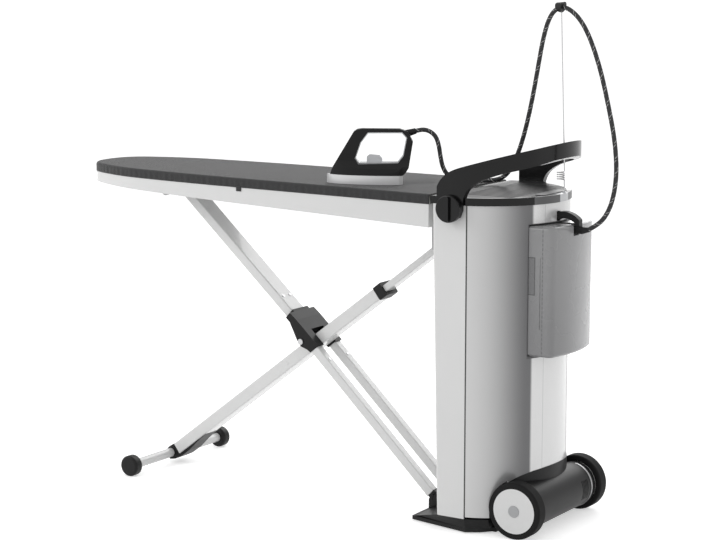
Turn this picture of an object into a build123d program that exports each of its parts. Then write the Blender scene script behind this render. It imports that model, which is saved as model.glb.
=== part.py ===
# Steam ironing system: board on crossed legs, hinged to a wheeled steam tower.
# Millimetres. X runs along the board to the rear, Y across, Z up. The origin is
# on the floor, under the axis of the two side knobs.
import os
from math import cos, pi, radians, sin, tan

from build123d import *

os.makedirs("parts", exist_ok=True)

# sizes of the board
heel_x = -72.0
nose_x = -1258.0
board_top = 848.7
cover_thick = 25.3
board_tilt = 0.35
skirt_heel = 58.4
skirt_nose = 27.0

# sizes of the tower
column_half = 205.0
column_front_top = -60.0
column_front_foot = -43.0
column_seam_x = 37.0
column_foot = 37.0
casing_foot = 42.0
column_top = 828.0
casing_radius = 212.7
casing_centre_x = -19.7
wall = 3.0
rim_radius = 215.7
rim_top = 847.0
knob_z = 820.0

# wheels
wheel_x = 169.7
wheel_radius = 72.0
tyre_inner = 152.0
tyre_outer = 188.0
hub_radius = 57.0
axle_radius = 6.0
housing_radius = 58.0
housing_half = 148.0

# fold of the legs and the board
hinge_x = -130.0
hinge_z = 812.0
foot_pin_x = -138.0
foot_pin_z = 38.0
tip_x = -968.0
tip_z = 790.0
knuckle_x = -528.6
knuckle_z = 402.3
pivot_x = -555.0
pivot_z = 404.0
leg_b_tilt = 37.1
leg_b_top = 490.0
bar_x = -1025.6
bar_z = 29.0

# running clearance round a pin, and between parts that pass each other
pin_gap = 0.08
pass_gap = 0.5


def side(y):
    """Side-view plane at y: local x is X, local y is Z, extrudes towards -Y."""
    return Plane(origin=(0, y, 0), x_dir=(1, 0, 0), z_dir=(0, -1, 0))


def along(px, pz, lift, distance=0.0):
    """Cross-section plane of a leg: local x is Y, local y is square to the leg."""
    c = cos(radians(lift))
    s = sin(radians(lift))
    return Plane(origin=(px + c * distance, 0, pz + s * distance), x_dir=(0, 1, 0), z_dir=(c, 0, s))


def board_plane(height):
    """Plane of the tilted board: local x from the heel, height over the skirt's top."""
    c = cos(radians(board_tilt))
    s = sin(radians(board_tilt))
    base_z = board_top - cover_thick
    origin = (heel_x + s * height, 0, base_z + c * height)
    return Plane(origin=origin, x_dir=(c, 0, -s), z_dir=(s, 0, c))


def vector_to(a, b):
    return (b[0] - a[0], b[1] - a[1], b[2] - a[2])


def save(part, label):
    part.label = label
    export_step(part, "parts/" + label + ".step")


# arcs of the board's outline from the nose back: radius and turn in degrees
nose_arcs = [(236.9, 8.18), (101.9, 54.48), (543.3, 21.56), (4180.0, 4.68)]


def board_shape(inset):
    """Face of the board's outline on the XY plane, moved in by the inset."""
    x = nose_x - heel_x + inset
    y = 0.0
    way = 90.0
    arcs = []
    for radius, turn in nose_arcs:
        r = radius - inset
        cx = x + r * sin(radians(way))
        cy = y - r * cos(radians(way))
        a = radians(way - turn / 2)
        middle = (cx - r * sin(a), cy + r * cos(a))
        way -= turn
        end = (cx - r * sin(radians(way)), cy + r * cos(radians(way)))
        arcs.append(((x, y), middle, end))
        x, y = end
    heel_y = y - (x + inset) * tan(radians(way))
    with BuildSketch(mode=Mode.PRIVATE) as sk:
        with BuildLine():
            for start, middle, end in arcs:
                ThreePointArc(start, middle, end)
            Polyline((x, y), (-inset, heel_y), (-inset, -heel_y), (x, -y))
            for start, middle, end in arcs:
                ThreePointArc((start[0], -start[1]), (middle[0], -middle[1]), (end[0], -end[1]))
        make_face()
    return sk.sketch


# board: cover with its strap, pad, white skirt, and the mesh frame with its rails
with BuildPart() as cover:
    with BuildSketch(board_plane(0)):
        add(board_shape(0))
    extrude(amount=cover_thick)
    fillet(cover.edges().filter_by(lambda e: e.length > 500).sort_by(Axis.Z)[-1], 8)
    with BuildSketch(board_plane(0)):
        add(board_shape(1.5))
    extrude(amount=cover_thick - 1.5, mode=Mode.SUBTRACT)
    with BuildSketch(board_plane(-10)):
        add(board_shape(0))
        add(board_shape(1.8), mode=Mode.SUBTRACT)
        with Locations((-592, -180)):
            Rectangle(16, 60, mode=Mode.INTERSECT)
    extrude(amount=12)
save(cover.part, "board_cover")

with BuildPart() as pad:
    with BuildSketch(board_plane(0)):
        add(board_shape(1.6))
    extrude(amount=cover_thick - 1.6)
    with BuildSketch(board_plane(cover_thick)):
        add(board_shape(0))
        add(board_shape(13.5), mode=Mode.SUBTRACT)
    extrude(amount=-6, mode=Mode.SUBTRACT)
save(pad.part, "board_pad")

with BuildPart() as skirt:
    with BuildSketch(board_plane(-skirt_heel)):
        add(board_shape(2))
    extrude(amount=skirt_heel)
    with BuildSketch(board_plane(-skirt_heel)):
        add(board_shape(4.5))
    extrude(amount=skirt_heel - 2, mode=Mode.SUBTRACT)
    with BuildSketch(board_plane(-3)):
        add(board_shape(6))
    extrude(amount=4, mode=Mode.SUBTRACT)
    with BuildSketch(side(230)):
        with BuildLine():
            Polyline((heel_x + 20, board_top - cover_thick - skirt_heel - 0.6),
                     (heel_x + 20, 600), (nose_x - 20, 600),
                     (nose_x - 20, board_top - cover_thick - skirt_nose + 8), close=True)
        make_face()
    extrude(amount=460, mode=Mode.SUBTRACT)
    with BuildSketch(board_plane(-3)):
        with Locations((-4, 0)):
            Rectangle(12, 330)
    extrude(amount=-80, mode=Mode.SUBTRACT)
save(skirt.part, "board_skirt")


def rail_height(x):
    """Height of the board's underside at x."""
    return board_top - cover_thick - 2 + (heel_x - x) * tan(radians(board_tilt))


rail_near = 95.0
rail_far = 110.0
hinge_pin = 3.0
tip_pin = 6.0
with BuildPart() as frame:
    with BuildSketch(board_plane(-2)):
        add(board_shape(6))
    extrude(amount=2)
    with BuildSketch(board_plane(0)):
        for i in range(14):
            for j in (-3, -2, -1, 0, 1, 2, 3):
                if i < 12 or abs(j) < 3:
                    with Locations((-110 - 75 * i, 42 * j)):
                        SlotOverall(48, 20)
    extrude(amount=-2, mode=Mode.SUBTRACT)
    for way in (1, -1):
        with BuildSketch(board_plane(-2)):
            with Locations((-545, way * (rail_near + rail_far) / 2)):
                Rectangle(1050, rail_far - rail_near)
        extrude(amount=-16)
        with BuildSketch(side(way * rail_far if way > 0 else -rail_near)):
            with Locations((tip_x, tip_z)):
                Circle(11)
            with Locations((tip_x, tip_z + 14)):
                Rectangle(26, 28)
        extrude(amount=rail_far - rail_near)
    for x, depth in ((-230, 2.5), (-700, 8), (-1050, 8)):
        with BuildSketch(board_plane(-2)):
            with Locations((x, 0)):
                Rectangle(20, 2 * rail_far)
        extrude(amount=-depth)
    for way in (1, -1):
        with BuildSketch(side(93 if way > 0 else -78)):
            with Locations((hinge_x, hinge_z)):
                Circle(8)
            with Locations((hinge_x, hinge_z + 4)):
                Rectangle(16, 9)
        extrude(amount=15)
        with BuildSketch(side(rail_far if way > 0 else -78)):
            with Locations((hinge_x, rail_height(hinge_x) - 5.5)):
                Rectangle(16, 11)
        extrude(amount=rail_far - 78)
    with BuildSketch(side(120)):
        with Locations((tip_x, tip_z)):
            Circle(tip_pin + pin_gap)
    extrude(amount=240, mode=Mode.SUBTRACT)
    with BuildSketch(side(94)):
        with Locations((hinge_x, hinge_z)):
            Circle(hinge_pin + pin_gap)
    extrude(amount=188, mode=Mode.SUBTRACT)
save(frame.part, "board_frame")

# carriage that the board hangs on, and the channel it slides in
rail_half = 22.0
rail_low = 182.0
rail_high = 745.0
arm_near = 60.0
arm_far = 75.0
with BuildPart() as carriage:
    with BuildSketch(side(rail_half - 2 - pass_gap)):
        with Locations(((-62 - 24) / 2, 710)):
            Rectangle(38, 60)
    extrude(amount=2 * (rail_half - 2 - pass_gap))
    with BuildSketch(side(arm_far)):
        with Locations(((-84 - 62) / 2, 710)):
            Rectangle(22, 40)
    extrude(amount=2 * arm_far)
    for y in (30.5, -24):
        with BuildSketch(side(y)):
            with BuildLine():
                Polyline((-83, 655), (-83, 718), (-152, 718), (-152, 682), (-120, 655), close=True)
            make_face()
        extrude(amount=6.5)
    for y in (arm_far, -arm_near):
        with BuildSketch(side(y)):
            with Locations(((-137 - 83) / 2, 702)):
                Rectangle(54, 25)
            with Locations((hinge_x, (690 + hinge_z) / 2)):
                Rectangle(14, hinge_z - 690)
            with Locations((hinge_x, hinge_z)):
                Circle(7)
        extrude(amount=arm_far - arm_near)
    for y in (94, -arm_near):
        with BuildSketch(side(y)):
            with Locations((hinge_x, hinge_z)):
                Circle(hinge_pin)
        extrude(amount=94 - arm_near)
save(carriage.part, "board_carriage")

# column and rear casing
column_profile = [(column_front_foot, column_foot), (column_seam_x, column_foot),
                  (column_seam_x, column_top), (column_front_top, column_top)]
with BuildPart() as channel:
    with BuildSketch(side(rail_half)):
        with BuildLine():
            Polyline(*column_profile, close=True)
        make_face()
        with Locations(((-70 - 18) / 2, (rail_low + rail_high) / 2)):
            Rectangle(52, rail_high - rail_low, mode=Mode.INTERSECT)
    extrude(amount=2 * rail_half)

with BuildPart() as front_column:
    with BuildSketch(side(column_half)):
        with BuildLine():
            Polyline(*column_profile, close=True)
        make_face()
    extrude(amount=2 * column_half)
    fillet(front_column.edges().filter_by(lambda e: e.length > 500).group_by(Axis.X)[0], 8)
    with BuildSketch(side(column_half - wall)):
        with BuildLine():
            Polyline((column_front_foot + wall, column_foot - 1), (column_seam_x + 1, column_foot - 1),
                     (column_seam_x + 1, column_top + 1), (column_front_top + wall, column_top + 1),
                     close=True)
        make_face()
    extrude(amount=2 * (column_half - wall), mode=Mode.SUBTRACT)
    add(channel.part)
    with BuildSketch(side(rail_half - 2)):
        with Locations(((-75 - 20) / 2, (rail_low + rail_high) / 2)):
            Rectangle(55, rail_high - rail_low - 4)
    extrude(amount=2 * rail_half - 4, mode=Mode.SUBTRACT)
    with BuildSketch(side(column_half + 1)):
        with Locations((0, knob_z)):
            Circle(5.3)
    extrude(amount=2 * column_half + 2, mode=Mode.SUBTRACT)
    with BuildSketch(side(column_half + 1)):
        with Locations((0, 95)):
            RectangleRounded(30, 22, 3)
    extrude(amount=20, mode=Mode.SUBTRACT)
save(front_column.part, "front_column")

# line where the white casing meets the black wheel housing
fairing = [(96, 42), (96, 76), (103, 99), (117, 121), (136, 136), (153, 147), (173, 156), (192, 161),
           (225, 163), (225, 42)]
tank_half = 110.0
tank_low = 450.0
tank_high = 776.0
tank_front = 124.0
tank_side = 226.0
tank_rear = 243.0
pocket_half = 113.0
pocket_low = 444.0
pocket_high = 781.0
pocket_back = 118.0
panel_half = 64.0

with BuildPart() as rear_casing:
    with BuildSketch(Plane.XY.offset(casing_foot)):
        with Locations((casing_centre_x, 0)):
            Circle(casing_radius)
            Circle(casing_radius - wall, mode=Mode.SUBTRACT)
        with Locations((column_seam_x - 500, 0)):
            Rectangle(1000, 600, mode=Mode.SUBTRACT)
    extrude(amount=column_top - casing_foot)
    with BuildSketch(Plane.YZ.offset(120)):
        with Locations((0, (pocket_low + pocket_high) / 2)):
            Rectangle(2 * pocket_half, pocket_high - pocket_low)
        with Locations((0, (pocket_low + 100) / 2)):
            Rectangle(2 * panel_half, pocket_low - 100)
    extrude(amount=120, mode=Mode.SUBTRACT)
    with BuildSketch(side(230)):
        with BuildLine():
            Polyline(*fairing, close=True)
        make_face()
    extrude(amount=460, mode=Mode.SUBTRACT)
    for y in (230, -housing_half - 0.4):
        with BuildSketch(side(y)):
            with Locations((wheel_x, wheel_radius)):
                Circle(75)
        extrude(amount=230 - housing_half - 0.4, mode=Mode.SUBTRACT)
    with BuildSketch(side(-4)):
        with Locations((185, 793.5)):
            Rectangle(40, 25)
    extrude(amount=18, mode=Mode.SUBTRACT)
save(rear_casing.part, "rear_casing")

with BuildPart() as rear_panel:
    with BuildSketch(Plane.XY.offset(casing_foot)):
        with Locations((casing_centre_x, 0)):
            Circle(casing_radius - 0.6)
            Circle(casing_radius - wall, mode=Mode.SUBTRACT)
        with Locations((120, 0)):
            Rectangle(260, 2 * panel_half, mode=Mode.INTERSECT)
        with Locations((60, 0)):
            Rectangle(120, 400, mode=Mode.SUBTRACT)
    extrude(amount=pocket_low - casing_foot)
    with BuildSketch(side(230)):
        with BuildLine():
            Polyline(*fairing, close=True)
        make_face()
    extrude(amount=460, mode=Mode.SUBTRACT)
save(rear_panel.part, "rear_panel")

with BuildPart() as tank_pocket:
    with BuildSketch(Plane.XY.offset(pocket_low)):
        with BuildLine():
            Polyline((pocket_back - 2, -pocket_half), (210, -pocket_half), (210, pocket_half),
                     (pocket_back - 2, pocket_half), close=True)
        make_face()
        with Locations((casing_centre_x, 0)):
            Circle(casing_radius, mode=Mode.INTERSECT)
    extrude(amount=pocket_high - pocket_low)
    with BuildSketch(Plane.XY.offset(tank_low - 0.3)):
        with Locations((200, 0)):
            Rectangle(164, 2 * pocket_half - 4)
    extrude(amount=pocket_high - 2 - tank_low + 0.3, mode=Mode.SUBTRACT)
    with BuildSketch(Plane.YZ.offset(102)):
        with Locations((0, 475)):
            Circle(8)
    extrude(amount=15)
    with BuildSketch(Plane.YZ.offset(106)):
        with Locations((0, 475)):
            Circle(6.3)
    extrude(amount=20, mode=Mode.SUBTRACT)
    with BuildSketch(Plane.YZ.offset(100)):
        with Locations((0, 475)):
            Circle(3)
    extrude(amount=10, mode=Mode.SUBTRACT)
save(tank_pocket.part, "tank_pocket")

# wheel housing with its axle
with BuildPart() as housing:
    with BuildSketch(side(230)):
        with BuildLine():
            Polyline(*fairing, close=True)
        make_face()
    extrude(amount=460)
    with BuildSketch(Plane.XY.offset(20)):
        with Locations((casing_centre_x, 0)):
            Circle(casing_radius + 0.6)
    extrude(amount=160, mode=Mode.INTERSECT)
    with BuildSketch(side(housing_half)):
        with Locations((wheel_x, wheel_radius)):
            Circle(housing_radius)
        with Locations((118, 45)):
            Rectangle(26, 62)
    extrude(amount=2 * housing_half)
    with BuildSketch(side(housing_half - 8)):
        with Locations((wheel_x, wheel_radius)):
            Circle(housing_radius - 4)
        with Locations((128, 72)):
            Rectangle(38, 76)
    extrude(amount=2 * housing_half - 16, mode=Mode.SUBTRACT)
    for y in (230, -housing_half - 0.4):
        with BuildSketch(side(y)):
            with Locations((wheel_x, wheel_radius)):
                Circle(75)
        extrude(amount=230 - housing_half - 0.4, mode=Mode.SUBTRACT)
    with BuildSketch(side(160)):
        with Locations((wheel_x, wheel_radius)):
            Circle(axle_radius)
    extrude(amount=320, mode=Mode.SUBTRACT)
    with BuildSketch(Plane.YZ.offset(200)):
        for i in range(5):
            with Locations((108 - 7 * i, wheel_radius)):
                Rectangle(3, 50)
    extrude(amount=40, mode=Mode.SUBTRACT)
    with BuildSketch(Plane.XY.offset(30)):
        with Locations((75, 0)):
            Rectangle(60, 500)
    extrude(amount=-30, mode=Mode.SUBTRACT)
save(housing.part, "wheel_housing")

with BuildPart() as housing_ring:
    with BuildSketch(side(132)):
        with Locations((wheel_x, wheel_radius)):
            Circle(housing_radius + 0.8)
            Circle(housing_radius, mode=Mode.SUBTRACT)
        with Locations((wheel_x - 100, wheel_radius)):
            Rectangle(220, 200, mode=Mode.SUBTRACT)
    extrude(amount=6)
    add(housing.part, mode=Mode.SUBTRACT)
save(housing_ring.part, "housing_ring")

with BuildPart() as axle:
    with BuildSketch(side(tyre_outer - 6)):
        with Locations((wheel_x, wheel_radius)):
            Circle(axle_radius)
    extrude(amount=2 * (tyre_outer - 6))
save(axle.part, "wheel_axle")


def wheel(way):
    """Tyre, hub and cap of one wheel, as three parts, on the side that way names."""
    out = way * tyre_outer
    inn = way * tyre_inner
    with BuildPart() as tyre:
        with BuildSketch(side(max(out, inn))):
            with Locations((wheel_x, wheel_radius)):
                Circle(wheel_radius)
                Circle(hub_radius, mode=Mode.SUBTRACT)
        extrude(amount=tyre_outer - tyre_inner)
        rims = tyre.edges().filter_by(GeomType.CIRCLE).sort_by(SortBy.RADIUS)[-2:]
        fillet(rims, 5)
    with BuildPart() as hub:
        with BuildSketch(side(max(out, inn))):
            with Locations((wheel_x, wheel_radius)):
                Circle(hub_radius)
        extrude(amount=tyre_outer - tyre_inner)
        with BuildSketch(side(way * (tyre_inner + 28) if way > 0 else inn)):
            with Locations((wheel_x, wheel_radius)):
                Circle(hub_radius - 5)
                Circle(14, mode=Mode.SUBTRACT)
        extrude(amount=28, mode=Mode.SUBTRACT)
        with BuildSketch(side(200)):
            with Locations((wheel_x, wheel_radius)):
                Circle(axle_radius + pin_gap)
        extrude(amount=400, mode=Mode.SUBTRACT)
        with BuildSketch(side(out if way > 0 else out + 5)):
            with Locations((wheel_x, wheel_radius)):
                Circle(15)
        extrude(amount=5, mode=Mode.SUBTRACT)
    with BuildPart() as cap:
        with BuildSketch(side(out + 2 if way > 0 else out + 5)):
            with Locations((wheel_x, wheel_radius)):
                Circle(15)
        extrude(amount=7)
        fillet(cap.edges().filter_by(GeomType.CIRCLE).sort_by(Axis.Y)[-1 if way > 0 else 0], 1.5)
    return tyre.part, hub.part, cap.part


tyre_near, hub_near, cap_near = wheel(-1)
tyre_far, hub_far, cap_far = wheel(1)
save(tyre_near, "tyre_near")
save(hub_near, "hub_near")
save(cap_near, "hub_cap_near")
save(tyre_far, "tyre_far")
save(hub_far, "hub_far")
save(cap_far, "hub_cap_far")

# base with the open rest for the leg's foot pin
foot_pin = 5.0
base_outline = [(-134, -170), (-137, 0), (-134, 170), (40, 203), (72, 184), (93, 160), (105, 140),
                (105, -140), (93, -160), (72, -184), (40, -203)]
base_top = [(-44, -205), (-44, 205), (37, 205), (66, 194), (93, 179), (93, -179), (66, -194), (37, -205)]
base_low = [(-128, -168), (-128, 168), (40, 203), (72, 184), (93, 172), (93, -172), (72, -184), (40, -203)]
with BuildPart() as base:
    with BuildSketch(Plane.XY.offset(3)):
        with BuildLine():
            Polyline(*base_outline, close=True)
        make_face()
    extrude(amount=10)
    with BuildSketch(Plane.XY.offset(13)):
        with BuildLine():
            Polyline(*base_low, close=True)
        make_face()
    with BuildSketch(Plane.XY.offset(column_foot)):
        with BuildLine():
            Polyline(*base_top, close=True)
        make_face()
    loft()
    with BuildSketch(Plane.XY):
        Rectangle(200, 300)
    extrude(amount=3)
    with BuildSketch(side(70)):
        with Locations((-110, 38)):
            Rectangle(60, 50)
    extrude(amount=140, mode=Mode.SUBTRACT)
    with BuildSketch(Plane.XY.offset(20)):
        with Locations((20, 0)):
            Rectangle(90, 300)
    extrude(amount=30, mode=Mode.SUBTRACT)
    for y in (68, -62):
        with BuildSketch(side(y)):
            with BuildLine():
                Polyline((-146, 8), (-75, 8), (-75, 30), (-110, 50), (-124, 50), (-132.5, 40),
                         (-132.5, foot_pin_z - foot_pin - pass_gap), (-146, foot_pin_z - foot_pin - pass_gap),
                         close=True)
            make_face()
        extrude(amount=6)
    with BuildSketch(side(68)):
        with Locations((-136, 10)):
            Rectangle(20, 6)
    extrude(amount=136)
save(base.part, "tower_base")

# rim and top of the tower
with BuildPart() as rim_block:
    with BuildSketch(Plane.XY.offset(column_top)):
        with Locations((casing_centre_x, 0)):
            Circle(rim_radius)
        with Locations(((-61 + column_seam_x) / 2, 0)):
            Rectangle(column_seam_x + 61, 2 * column_half)
        with Locations((-61 - 200, 0)):
            Rectangle(400, 600, mode=Mode.SUBTRACT)
        for way in (1, -1):
            with Locations((0, way * (column_half + 50))):
                Rectangle(60, 100, mode=Mode.SUBTRACT)
            with Locations((-20, way * (column_half + 50))):
                Rectangle(114, 100, mode=Mode.SUBTRACT)
    extrude(amount=rim_top - column_top)

rear_cut_x = 171.0
with BuildPart() as top_rim:
    add(rim_block.part)
    with BuildSketch(Plane.XY.offset(column_top - 1)):
        with Locations((casing_centre_x, 0)):
            Circle(rim_radius - 14)
        with Locations((-200, 0)):
            Rectangle(306, 500, mode=Mode.SUBTRACT)
        with Locations((0, 250)):
            Rectangle(500, 2 * (250 - column_half + 14), mode=Mode.SUBTRACT)
        with Locations((0, -250)):
            Rectangle(500, 2 * (250 - column_half + 14), mode=Mode.SUBTRACT)
    extrude(amount=40, mode=Mode.SUBTRACT)
    with BuildSketch(Plane.XY.offset(column_top - 1)):
        with Locations((rear_cut_x + 50, 0)):
            Rectangle(100, 500)
    extrude(amount=40, mode=Mode.SUBTRACT)
save(top_rim.part, "top_rim")

socket_half = 24.0
with BuildPart() as rim_panel:
    add(rim_block.part)
    with BuildSketch(Plane.XY.offset(column_top - 1)):
        with Locations((rear_cut_x - 250, 0)):
            Rectangle(500, 500)
        with Locations((200, 12)):
            Rectangle(100, 2 * socket_half)
    extrude(amount=40, mode=Mode.SUBTRACT)
    with BuildSketch(Plane.XY.offset(rim_top)):
        with Locations((164, 0)):
            RectangleRounded(26, 130, 6)
        with Locations((188, 25)):
            Circle(6, mode=Mode.SUBTRACT)
    extrude(amount=2)
save(rim_panel.part, "rim_rear_panel")

with BuildPart() as wire_socket:
    add(rim_block.part)
    with BuildSketch(Plane.XY.offset(column_top - 1)):
        with Locations((rear_cut_x, 12)):
            Rectangle(100, 2 * socket_half)
    extrude(amount=40, mode=Mode.INTERSECT)
    with BuildSketch(Plane.XY.offset(column_top - 1)):
        with Locations((rear_cut_x - 50, 12)):
            Rectangle(100, 100)
    extrude(amount=40, mode=Mode.SUBTRACT)
    with BuildSketch(Plane.XY.offset(rim_top)):
        with Locations((188, 25)):
            Circle(4)
    extrude(amount=4)
    with BuildSketch(Plane.XY.offset(rim_top - 12)):
        with Locations((188, 25)):
            Circle(1.7)
    extrude(amount=20, mode=Mode.SUBTRACT)
save(wire_socket.part, "wire_socket")

with BuildPart() as top_plate:
    with BuildSketch(Plane.XY.offset(rim_top - 6)):
        with Locations((casing_centre_x, 0)):
            Circle(rim_radius - 14)
        with Locations((-200, 0)):
            Rectangle(306, 500, mode=Mode.SUBTRACT)
        with Locations((0, 250)):
            Rectangle(500, 2 * (250 - column_half + 14), mode=Mode.SUBTRACT)
        with Locations((0, -250)):
            Rectangle(500, 2 * (250 - column_half + 14), mode=Mode.SUBTRACT)
        with Locations((rear_cut_x + 50, 0)):
            Rectangle(100, 500, mode=Mode.SUBTRACT)
        for i in range(13):
            with Locations((60, -132 + 22 * i)):
                SlotOverall(150, 7, mode=Mode.SUBTRACT)
    extrude(amount=6)
save(top_plate.part, "top_plate")

# hoop handle and the two knobs
hoop_out = 220.0
hoop_in = 202.0
with BuildPart() as hoop:
    with BuildSketch(Plane.XY.offset(790)):
        Circle(hoop_out)
        Circle(hoop_in, mode=Mode.SUBTRACT)
        with Locations((-250, 0)):
            Rectangle(500, 600, mode=Mode.SUBTRACT)
        for way in (1, -1):
            with Locations((-19, way * (column_half + hoop_out) / 2)):
                Rectangle(38, hoop_out - column_half)
    extrude(amount=200)
    with BuildSketch(side(230)):
        with BuildLine():
            Spline((-38, 872), (-5, 909), (39, 926), (90, 941), (142, 956), (177, 966), (221, 980))
            Polyline((221, 980), (221, 941), (209, 937))
            Spline((209, 937), (159, 918), (100, 901), (68, 886), (46, 868), (34, 840), (30, 815))
            Polyline((30, 815), (22, 797), (-22, 797), (-38, 815), (-38, 872))
        make_face()
    extrude(amount=460, mode=Mode.INTERSECT)
    with BuildSketch(Plane.XY.offset(780)):
        Rectangle(500, 2 * column_half)
        with Locations((casing_centre_x, 0)):
            Circle(rim_radius)
        with Locations((-180, 0)):
            Rectangle(420, 700, mode=Mode.SUBTRACT)
        Rectangle(500, 2 * column_half)
    extrude(amount=rim_top - 780, mode=Mode.SUBTRACT)
    with BuildSketch(side(230)):
        with Locations((0, knob_z)):
            Circle(5.3)
    extrude(amount=460, mode=Mode.SUBTRACT)
save(hoop.part, "hoop_handle")

knob_in = hoop_out + 0.4
knob_out = 234.0


def knob(way):
    """Lock knob with its grip ridge and spindle."""
    with BuildPart() as body:
        with BuildSketch(side(knob_out if way > 0 else -knob_in)):
            with Locations((0, knob_z)):
                Circle(34)
        extrude(amount=knob_out - knob_in)
        fillet(body.edges().filter_by(GeomType.CIRCLE).sort_by(Axis.Y)[-1 if way > 0 else 0], 3)
        with BuildSketch(side(knob_out + 7 if way > 0 else -knob_out)):
            with Locations((0, knob_z)):
                RectangleRounded(13, 62, 5)
        extrude(amount=7)
        with BuildSketch(side(knob_in if way > 0 else -column_half + 14)):
            with Locations((0, knob_z)):
                Circle(5)
        extrude(amount=knob_in - column_half + 14)
        with BuildSketch(side(column_half - wall - 1 if way > 0 else -column_half + 14)):
            with Locations((0, knob_z)):
                Circle(7.5)
        extrude(amount=10)
    return body.part


knob_near = knob(-1)
knob_far = knob(1)
save(knob_near, "lock_knob_near")
save(knob_far, "lock_knob_far")

# water tank
with BuildPart() as tank:
    with BuildSketch(Plane.XY.offset(tank_low)):
        with BuildLine():
            Polyline((tank_side, tank_half), (tank_front, tank_half), (tank_front, -tank_half),
                     (tank_side, -tank_half))
            ThreePointArc((tank_side, -tank_half), (tank_rear, 0), (tank_side, tank_half))
        make_face()
    extrude(amount=tank_high - tank_low)
    fillet(tank.edges().filter_by(Axis.Z).group_by(Axis.X)[-1], 20)
    fillet(tank.edges().group_by(Axis.Z)[0] + tank.edges().group_by(Axis.Z)[-1], 9)
    with BuildSketch(Plane.XY.offset(tank_low + 2.5)):
        with BuildLine():
            Polyline((206, tank_half - 2.5), (tank_front + 2.5, tank_half - 2.5),
                     (tank_front + 2.5, -tank_half + 2.5), (206, -tank_half + 2.5))
            ThreePointArc((206, -tank_half + 2.5), (tank_rear - 2.6, 0), (206, tank_half - 2.5))
        make_face()
    extrude(amount=293, mode=Mode.SUBTRACT)
    with BuildSketch(Plane.XY.offset(tank_low + 250)):
        with Locations((165, 45)):
            Rectangle(70, 90)
        with Locations((165, -70)):
            Rectangle(70, 50)
    extrude(amount=tank_high - tank_low - 252.5, mode=Mode.SUBTRACT)
    with BuildSketch(Plane.XY.offset(748)):
        with Locations((190, -13)):
            Rectangle(140, 28)
    extrude(amount=40, mode=Mode.SUBTRACT)
    with BuildSketch(Plane.XY.offset(tank_high - 5)):
        with Locations((165, 55)):
            Circle(22)
    extrude(amount=10, mode=Mode.SUBTRACT)
    with BuildSketch(Plane.YZ.offset(108)):
        with Locations((0, 475)):
            Circle(6)
    extrude(amount=tank_front - 107)
    with BuildSketch(Plane.YZ.offset(107)):
        with Locations((0, 475)):
            Circle(3.5)
    extrude(amount=tank_front - 104, mode=Mode.SUBTRACT)
    with BuildSketch(side(-tank_half + 1.2)):
        with Locations((196, 610)):
            SlotOverall(180, 6, rotation=90)
    extrude(amount=3, mode=Mode.SUBTRACT)
save(tank.part, "water_tank")

with BuildPart() as tank_cap:
    with BuildSketch(Plane.XY.offset(tank_high - 5)):
        with Locations((165, 55)):
            Circle(22)
    extrude(amount=5)
    with BuildSketch(Plane.XY.offset(tank_high)):
        with Locations((165, 55)):
            Rectangle(34, 6)
    extrude(amount=1.6)
save(tank_cap.part, "tank_cap")

# arm that holds the hose's lower end
arm_y = -13.0
with BuildPart() as hose_arm:
    with BuildSketch(side(arm_y + 9)):
        with BuildLine():
            Polyline((190, 781), (176, 781), (176, 795))
            ThreePointArc((176, 795), (214, 806), (254, 787))
            Polyline((254, 787), (254, 771), (240, 771), (240, 780))
            ThreePointArc((240, 780), (214, 789), (190, 781))
        make_face()
    extrude(amount=18)
save(hose_arm.part, "hose_arm")

boot_end = (276.0, -13.0, 764.5)
with BuildPart() as hose_boot:
    with BuildSketch(Plane.YZ.offset(234)):
        with Locations((arm_y, 762)):
            RectangleRounded(18, 18, 4)
    extrude(amount=28)
    with BuildSketch(Plane.YZ.offset(262)):
        with Locations((arm_y, 762)):
            RectangleRounded(18, 18, 4)
    with BuildSketch(Plane(origin=boot_end, x_dir=(0, 1, 0), z_dir=(25, 1.7, 14.5))):
        Circle(6.6)
    loft()
save(hose_boot.part, "hose_boot")

# wire that holds the hose up, with its coil
wire_r = 1.5
wire_foot = (188.0, 25.0, rim_top - 11.5)
wire_low = (187.4, 25.0, 878.0)
wire_high = (187.4, 25.0, 900.0)
wire_tip = (172.5, 25.5, 1297.0)
coil_r = 10.0
coil_turns = 4
coil_pitch = (wire_high[2] - wire_low[2]) / coil_turns


def bends(points):
    """Radius at each inner point: from the shorter run beside it and its turn."""
    radii = []
    for i in range(1, len(points) - 1):
        a = Vector(*points[i]) - Vector(*points[i - 1])
        b = Vector(*points[i + 1]) - Vector(*points[i])
        turn = radians(a.get_angle(b))
        radii.append(0.45 * min(a.length, b.length) / tan(turn / 2))
    return radii


wire_points = [wire_foot]
for i in range(8 * coil_turns + 1):
    a = i * pi / 4
    spot_z = wire_low[2] + coil_pitch * i / 8
    wire_points.append((wire_low[0] - coil_r + coil_r * cos(a), 25 + coil_r * sin(a), spot_z))
wire_points.append(wire_tip)
with BuildPart() as wire:
    with BuildLine() as wire_path:
        FilletPolyline(*wire_points, radius=bends(wire_points))
    with BuildSketch(Plane(origin=wire_foot, z_dir=vector_to(wire_foot, wire_low))):
        Circle(wire_r)
    sweep()
save(wire.part, "support_wire")

wire_line = wire_path.wires()[0]
coil_spots = [wire_line.position_at(i / 900) for i in range(901)]
least = 1000.0
for i in range(len(coil_spots)):
    run = 0.0
    for j in range(i + 1, len(coil_spots)):
        run += (coil_spots[j] - coil_spots[j - 1]).length
        if run > 20 * wire_r:
            least = min(least, (coil_spots[j] - coil_spots[i]).length - 2 * wire_r)
print("coil least gap", round(least, 2), "mm")

hose_r = 5.75
clip_start = (164.0, 28.0, 1306.0)
clip_end = (179.0, 22.6, 1307.4)


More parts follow.
